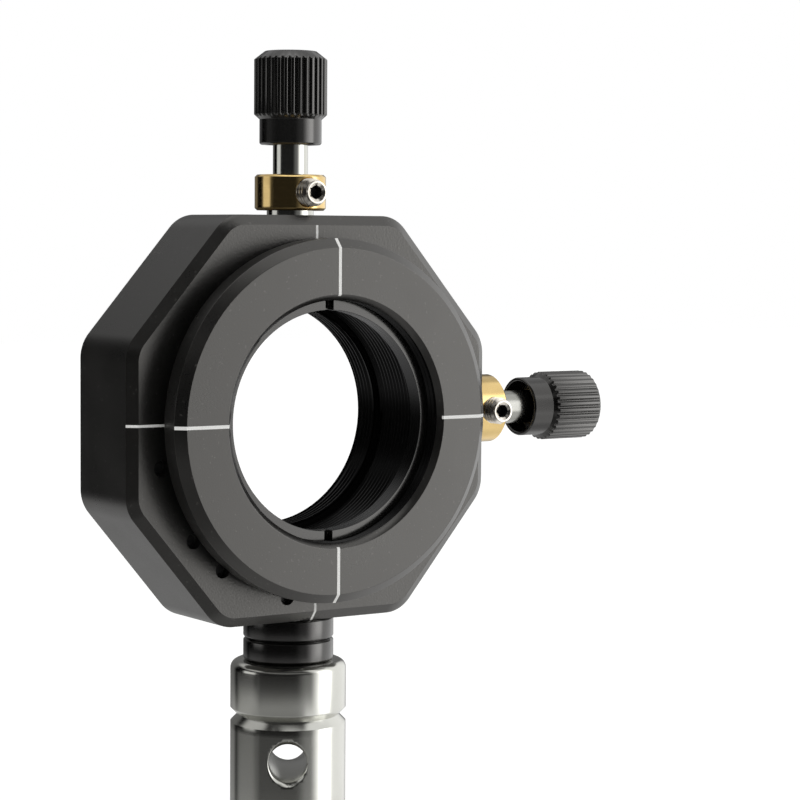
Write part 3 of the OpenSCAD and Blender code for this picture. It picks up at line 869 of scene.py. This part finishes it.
lock = {
    "radius": 1.5,
    "root": 1.16,
    "point": 0.9,
    "pointEnd": 2.0,
    "pointChamfer": 0.1,
    "start": 2.7,
    "lastThread": 0.42,  # from the screw's outer end, as are the next two
    "shoulder": 0.34,
    "crown": 0.12,
    "crownSlope": 0.04,
    "endRadius": 1.25,
    "mouth": 1.03,
    "cup": 0.2,
    "cupSlope": 0.3,
    "threadless": 0.5,
    "pitch": 0.5,
    "steps": 64,
    "hex": 1.34,
    "hexDepth": 1.4,
    "edge": 0.03,
    "darkGap": (0.06, 0.05),  # sideways and in depth
}


def lockScrew():
    low, high = reach("top_lock_screw")
    end = -low.y
    middle = (low.z + high.z) / 2
    point, chamfer = lock["point"], lock["pointChamfer"]
    core = spun("topLockScrew", [
        (0, lock["pointEnd"]),
        (point - chamfer, lock["pointEnd"]),
        (point, lock["pointEnd"] + chamfer),
        (point, lock["start"]),
        (lock["root"], lock["start"] + chamfer),
        (lock["root"], end - lock["shoulder"]),
        (lock["endRadius"], end - lock["crown"]),
        (lock["endRadius"] - lock["crownSlope"], end),
        (lock["mouth"], end),
        (lock["mouth"] - lock["cupSlope"], end - lock["cup"]),
        (0, end - lock["cup"]),
    ], "Z", lock["steps"])
    cut(core, hexCutter(lock["hex"], lock["hexDepth"], (0, 0, end * mm)))
    softened(core, lock["edge"])
    turns = int((end - lock["start"] - lock["threadless"]) / lock["pitch"])
    ridge = threadRidge(
        "lockThread", "Z", lock["root"] - ridgeShape["sunk"], lock["radius"], lock["pitch"],
        end - lock["lastThread"] - turns * lock["pitch"], turns, lock["steps"],
    )
    joined(core, ridge)
    return moved(core, (math.pi / 2, 0, 0), (0, 0, middle * mm))


topLock = lockScrew()
sideLock = moved(copied(topLock, "sideLockScrew"), (0, math.pi / 2, 0))
moved(sideLock, shift=(collarShift, 0, 0))
ready(topLock, "plated", "mount_frame", "top_lock_screw")
ready(sideLock, "plated", "mount_frame", "side_lock_screw")


def paintSocketShade(piece, nodeName):
    # painted shade: the hex socket's walls and floor get the near-black finish
    low, high = reach(nodeName)
    middle = (low + high) / 2
    sideGap, depthGap = lock["darkGap"]

    def withinSocket(face):
        spot = face.center / mm
        away = math.hypot(spot.x - middle.x, spot.z - middle.z)
        return away < lock["hex"] / 2 + sideGap and spot.y < low.y + lock["hexDepth"] + depthGap

    return secondFinish(piece, "socket", withinSocket)


paintSocketShade(topLock, "top_lock_screw")
paintSocketShade(sideLock, "side_lock_screw")

spindle = {"nose": 1.4, "noseLength": 0.9, "chamfer": 0.2}  # the nose lies inside the housing


def spindleShaft(name, nodeName, axis):
    low, high = reach(nodeName)
    start, end = (low.z, high.z) if axis == "Z" else (low.x, high.x)
    radius = high.y
    nose = spindle["nose"]
    chamfer = spindle["chamfer"]
    piece = spun(name, [
        (0, start),
        (nose - chamfer, start),
        (nose, start + chamfer),
        (nose, start + spindle["noseLength"]),
        (radius, start + spindle["noseLength"] + radius - nose),
        (radius, end - chamfer),
        (radius - chamfer, end),
        (0, end),
    ], axis)
    return softened(piece)


ready(spindleShaft("topShaft", "top_screw", "Z"), "steelZ", "top_spindle", "top_screw")
ready(spindleShaft("sideShaft", "side_screw", "X"), "steelX", "side_spindle", "side_screw")
print("collars, lock screws and shafts made")

knob = {
    "flutes": 32,
    "depth": 0.26,
    "profile": (0, 0.1, 0.42, 0.78, 0.96, 1, 1),  # height from the middle of a groove to a ridge's
    "skirtRadius": 3.37,
    "skirtLength": 2.72,
    "skirtWall": 0.42,
    "recess": 2.3,
    "shoulder": 0.52,
    "crown": 0.9,
    "endRadius": 2.8,
    "hex": 2.0,
    "hexDepth": 1.4,
    "stepsPerFlute": 12,
    "rimChamfer": 0.16,
    "mouthChamfer": 0.1,
    "edge": 0.035,
}
knobGaps = {"height": 0.004, "place": 0.05}  # how near a corner lies to a loop or a place


def flutedKnob():
    low, high = reach("top_knob")
    outer = high.x
    length = high.z - low.z
    grooveRadius = outer - knob["depth"]
    skirt = knob["skirtRadius"]
    gripStart = knob["skirtLength"] + knob["shoulder"]
    gripEnd = length - knob["crown"]
    runOut = knob["depth"] * knob["shoulder"] / (outer - skirt)
    crownRun = knob["depth"] * knob["crown"] / (outer - knob["endRadius"])
    pitch = 360 / knob["flutes"]
    piece = started(
        "topKnob", bpy.ops.mesh.primitive_circle_add,
        vertices=knob["flutes"] * knob["stepsPerFlute"], radius=grooveRadius * mm,
        location=(0, 0, (gripStart - runOut) * mm),
    )

    def place(spot):
        # share of the way from the middle of a groove to the middle of a ridge
        turn = math.degrees(math.atan2(spot.y, spot.x)) % pitch
        return min(turn, pitch - turn) / (pitch / 2)

    def loopAt(height):
        return lambda spot: near(spot.z / mm, height, knobGaps["height"])

    def raised(rise):
        bpy.ops.mesh.extrude_region_move(TRANSFORM_OT_translate={"value": (0, 0, rise * mm)})

    def scaled(share, height):
        bpy.ops.transform.resize(value=(share, share, 1), center_override=(0, 0, height * mm))

    def grown(fromHeight, toHeight, fromRadius=1, toRadius=1):
        chooseVertices(piece, loopAt(fromHeight))
        editing()
        raised(toHeight - fromHeight)
        share = toRadius / fromRadius
        if share != 1:
            scaled(share, toHeight)
        done()

    def fluted(height, rising):
        # draws the ridges out from the floor of the grooves, or back to it
        steps = knob["profile"]
        for spot, rise in enumerate(steps):
            if rise == 0:
                continue
            share = (grooveRadius + rise * knob["depth"]) / grooveRadius
            middle = spot / (len(steps) - 1)
            chooseVertices(piece, lambda co: (
                loopAt(height)(co) and near(place(co), middle, knobGaps["place"])
            ))
            editing()
            scaled(share if rising else 1 / share, height)
            done()

    only(piece)
    # up: shoulder run-out, grip, crown
    grown(gripStart - runOut, gripStart)
    fluted(gripStart, rising=True)
    grown(gripStart, gripEnd)
    grown(gripEnd, gripEnd + crownRun)
    fluted(gripEnd + crownRun, rising=False)
    grown(gripEnd + crownRun, length, grooveRadius, knob["endRadius"])
    chooseVertices(piece, loopAt(length))
    editing()
    bpy.ops.mesh.edge_face_add()
    done()
    # down: shoulder, skirt, rim and recess
    inner = skirt - knob["skirtWall"]
    rim = knob["rimChamfer"]
    mouth = knob["mouthChamfer"]
    grown(gripStart - runOut, knob["skirtLength"], grooveRadius, skirt)
    grown(knob["skirtLength"], rim)
    grown(rim, 0, skirt, skirt - rim)
    chooseVertices(piece, loopAt(0))
    editing()
    raised(0)
    scaled((inner + mouth) / (skirt - rim), 0)
    raised(mouth)
    scaled(inner / (inner + mouth), mouth)
    raised(knob["recess"] - mouth)
    bpy.ops.mesh.edge_face_add()
    closed()
    done()
    cut(piece, hexCutter(knob["hex"], knob["hexDepth"], (0, 0, length * mm)))
    softened(piece, knob["edge"], angle=25)
    return moved(piece, shift=(0, 0, low.z * mm))


topKnob = flutedKnob()
sideKnob = moved(copied(topKnob, "sideKnob"), (0, math.pi / 2, 0))
moved(sideKnob, shift=(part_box("side_knob")[0].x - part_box("top_knob")[0].z, 0, 0))
ready(topKnob, "turnedZ", "top_spindle", "top_knob")
ready(sideKnob, "turnedX", "side_spindle", "side_knob")
print("knobs made")


spacerShape = {"chamfer": 0.25, "bore": 2.1, "edge": 0.04}


def spacer(name, nodeName):
    low, high = reach(nodeName)
    outer = high.x
    chamfer = spacerShape["chamfer"]
    piece = spun(name, [
        (spacerShape["bore"], low.z),
        (outer - chamfer, low.z),
        (outer, low.z + chamfer),
        (outer, high.z - chamfer),
        (outer - chamfer, high.z),
        (spacerShape["bore"], high.z),
        (spacerShape["bore"], low.z),
    ], "Z")
    return softened(piece, spacerShape["edge"])


ready(spacer("upperSpacer", "upper_spacer"), "turnedZ", "mount_frame", "upper_spacer")
ready(spacer("lowerSpacer", "lower_spacer"), "turnedZ", "mount_frame", "lower_spacer")

postShape = {
    "shoulder": 0.95,
    "grooveDrop": 6.05,
    "grooveWidth": 1.6,
    "grooveDepth": 0.8,
    "footChamfer": 0.6,
    "mouthChamfer": 0.45,
    "studHole": 2.01,
    "studDepth": 7.1,
    "rings": 8,  # edge loops above and below the cross hole's axis
    "ringStep": 0.35,
    "drillPast": 2.0,
    "footDepth": 12.0,
    "footPoint": 1.2,
    "tapChamfer": 0.5,
    "footPitch": 1.0,
    "footCrest": 0.35,
    "footStart": 1.1,
    "footTurns": 9,
    "steps": 160,
    "shoulderSteps": 10,
    "drillSteps": 96,
    "threadSteps": 64,
    "edge": 0.035,
}


def post():
    low, high = reach("post")
    radius, top, foot = high.x, high.z, low.z
    hole = mount("post_cross_hole")
    holeHeight = hole["pos_m"][2] / mm
    holeRadius = hole["dims"]["r_mm"]
    tapped = mount("post_foot_thread")["dims"]["r_mm"]
    tap = postShape["tapChamfer"]
    shoulder = postShape["shoulder"]
    groove = top - postShape["grooveDrop"]
    half = postShape["grooveWidth"] / 2
    chamfer = postShape["footChamfer"]
    corner = arc((radius - shoulder, top - shoulder), shoulder, 0, 90, postShape["shoulderSteps"])
    spots = range(postShape["rings"], -postShape["rings"] - 1, -1)
    rings = [(radius, holeHeight + postShape["ringStep"] * i) for i in spots]
    piece = spun("post", [
        (0, top - postShape["studDepth"]),
        (postShape["studHole"], top - postShape["studDepth"]),
        (postShape["studHole"], top),
        *reversed(corner),
        (radius, groove + half),
        (radius - postShape["grooveDepth"], groove),
        (radius, groove - half),
        *rings,
        (radius, foot + chamfer),
        (radius - chamfer, foot),
        (tapped + tap, foot),
        (tapped, foot + tap),
        (tapped, foot + postShape["footDepth"]),
        (0, foot + postShape["footDepth"] + postShape["footPoint"]),
    ], "Z", postShape["steps"])
    straight = radius - postShape["mouthChamfer"]
    past = postShape["drillPast"]
    drill = spun("drill", [
        (0, -straight - past),
        (holeRadius + past, -straight - past),
        (holeRadius, -straight),
        (holeRadius, straight),
        (holeRadius + past, straight + past),
        (0, straight + past),
    ], "Z", postShape["drillSteps"])
    turn = math.atan2(hole["axis"][0], hole["axis"][1])
    moved(drill, (-math.pi / 2, 0, -turn), (0, 0, holeHeight * mm))
    cut(piece, drill)
    softened(piece, postShape["edge"], angle=30)
    ridge = threadRidge(
        "footThread", "Z", tapped + ridgeShape["sunk"], tapped - postShape["footCrest"],
        postShape["footPitch"], foot + postShape["footStart"], postShape["footTurns"],
        postShape["threadSteps"],
    )
    return joined(piece, ridge)


ready(post(), "postSteel", "mount_frame", "post")
print("post made")


studio = {
    "ambient": 0.75,
    "floorSize": 3.0,
    "floorColour": (0.8, 0.8, 0.79),
    "floorSpeck": (0.84, 0.84, 0.83),
    "speckSize": 8 * mm,
    "floorGlow": 0.37,
}
white = (1, 1, 1, 1)

# each lamp and each dark card: compass from the front (-Y) towards +X and height, in degrees;
# then how soft its edge is and how strong it is
lamps = {
    "key": ((32, 64), (-22, 36), 6, 1.3),
    "keyHeart": ((42, 62), (-14, 22), 5, 1.0),
    "rightSide": ((64, 118), (-20, 34), 8, 0.2),
    "leftStrip": ((-130, -100), (-3, 16), 4, 0.9),
    "leftLow": ((-152, -104), (-26, -8), 4, 0.1),
    "frontLow": ((-104, 20), (-26, -9), 4, 0.04),
    "frontFill": ((-4, 36), (-26, 10), 12, 0.18),
    "overhead": ((-200, 200), (74, 110), 6, 0.6),
}
cards = {
    "front": ((-96, 22), (-20, 31), 8, 0.985),
    "left": ((-164, -90), (-16, 31), 7, 1.0),
    "leftAbove": ((-96, 22), (31, 64), 8, 0.95),
    "leftBelow": ((-104, 4), (-58, -20), 8, 0.84),
    "below": ((-200, 200), (-110, -56), 8, 0.45),
}
# the same, with the compass from the back (+Y) towards -X
backCards = {
    "behind": ((-48, 34), (-16, 31), 7, 0.84),
    "backAbove": ((-75, 84), (31, 64), 8, 0.4),
    "behindBelow": ((-44, 30), (-58, -16), 8, 0.42),
    "sideBelow": ((30, 80), (-58, -16), 8, 0.72),
}


def makeWorld():
    world = bpy.data.worlds.new("studio")
    bpy.context.scene.world = world
    graph = Graph(world)
    direction = graph.add("ShaderNodeTexCoord", output="Generated")
    x, y, z = [graph.along(direction, axis) for axis in "XYZ"]
    degrees = 180 / math.pi
    compass = x.maths("ARCTAN2", x, 0 - y) * degrees
    backCompass = x.maths("ARCTAN2", 0 - x, y) * degrees
    height = z.maths("ARCSINE", z) * degrees

    def patch(turn, across, up, soft, strength):
        return turn.band(*across, soft) * height.band(*up, soft) * strength

    light = 0
    for lamp in lamps.values():
        light = light + patch(compass, *lamp)
    backdrop = 1
    for card in cards.values():
        backdrop = backdrop * (1 - patch(compass, *card))
    for card in backCards.values():
        backdrop = backdrop * (1 - patch(backCompass, *card))
    camera, mirrored = graph.rays()  # metal and glass show the white background too
    level = light + mirrored * backdrop + (1 - mirrored) * studio["ambient"]
    glow = graph.add("ShaderNodeBackground", None, {
        "Color": white, "Strength": camera + (1 - camera) * level,
    })
    graph.add("ShaderNodeOutputWorld", None, {"Surface": glow})


makeWorld()

floor = started(
    "floor", bpy.ops.mesh.primitive_plane_add, size=studio["floorSize"],
    location=(0, 0, cadBox[0].z),
)


def floorFinish():
    material = bpy.data.materials.new("paleFloor")
    graph = Graph(material)
    speck = graph.noise(graph.point(), studio["speckSize"], detail=3)
    colour = graph.blend(speck, studio["floorColour"], studio["floorSpeck"])
    camera, mirrored = graph.rays()
    matt = graph.add("ShaderNodeBsdfDiffuse", None, {"Color": colour})
    glow = graph.add("ShaderNodeEmission", None, {
        "Color": white, "Strength": camera * studio["floorGlow"],
    })
    both = graph.add("ShaderNodeAddShader", None, {0: matt, 1: glow})
    clear = graph.add("ShaderNodeBsdfTransparent")  # mirrored rays go on to the white below
    graph.surface(graph.add("ShaderNodeMixShader", None, {0: mirrored, 1: both, 2: clear}))
    return material


floor.data.materials.append(floorFinish())

viewpoint = {
    "azimuth": -34.046,
    "elevation": 3.848,
    "roll": 0.425,
    "distance": 0.26666,
    "aim": (0.00791, -0.00989, 0.00207),
    "lens": 111.38,
    "sensor": 36,
    "near": 0.01,
    "far": 20,
}


def makeCamera():
    data = bpy.data.cameras.new("camera")
    camera = bpy.data.objects.new("camera", data)
    bpy.context.scene.collection.objects.link(camera)
    data.lens = viewpoint["lens"]
    data.sensor_width = viewpoint["sensor"]
    data.clip_start, data.clip_end = viewpoint["near"], viewpoint["far"]
    across, up = math.radians(viewpoint["azimuth"]), math.radians(viewpoint["elevation"])
    back = Vector((math.sin(across) * math.cos(up), -math.cos(across) * math.cos(up), math.sin(up)))
    camera.location = Vector(viewpoint["aim"]) + back * viewpoint["distance"]
    camera.rotation_mode = "QUATERNION"
    roll = Quaternion((0, 0, 1), math.radians(viewpoint["roll"]))
    camera.rotation_quaternion = (-back).to_track_quat("-Z", "Y") @ roll
    bpy.context.scene.camera = camera


makeCamera()
bpy.context.scene.view_settings.view_transform = "Standard"
print("studio and camera set")
